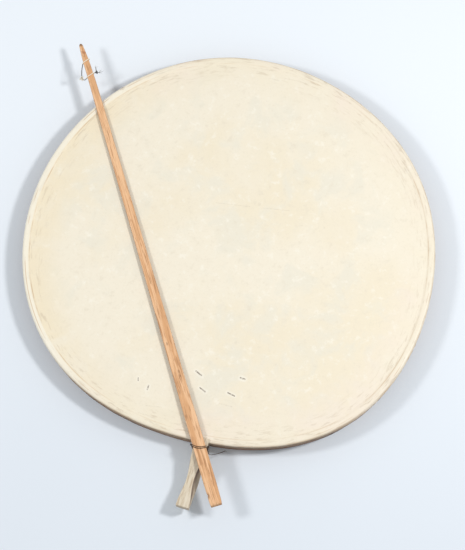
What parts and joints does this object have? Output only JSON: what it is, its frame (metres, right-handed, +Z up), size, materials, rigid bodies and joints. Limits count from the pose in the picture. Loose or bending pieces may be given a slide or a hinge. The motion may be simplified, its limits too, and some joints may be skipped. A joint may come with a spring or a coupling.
{
  "type": "ceremonial ritual drum",
  "caption": "Hand frame drum lying face up: thin skin over a bent wooden hoop, carved handle hooked over the rim, long flat wand tied across the front.",
  "frame": {"origin": "under the middle of the whole part, on the surface that the hoop's back edge lies on", "axes": "+Z up, the way the skin faces; the handle points towards -Y; +X to the right with the handle nearest the viewer"},
  "size_m": [0.6062, 0.6826, 0.051],
  "materials": {
    "bent_wood": "thin bent board, worn smooth and darkened by handling",
    "skin": "thin dried skin, cream, faintly mottled, low sheen",
    "braided_sinew": "braided sinew cord, brown",
    "handle_wood": "pale carved wood, matt, brown in its scooped flank",
    "wand_wood": "orange-brown split wood with fine straight grain, unvarnished",
    "dark_thread": "twisted thread, nearly black",
    "pale_thread": "thin sinew thread, cream"
  },
  "bodies": {
    "root": {"hoop": "bent_wood", "drumhead": "skin", "head_cord": "braided_sinew", "handle": "handle_wood", "wand": "wand_wood", "wand_tie": "dark_thread", "tip_tie": "pale_thread"}
  },
  "joints": []
}
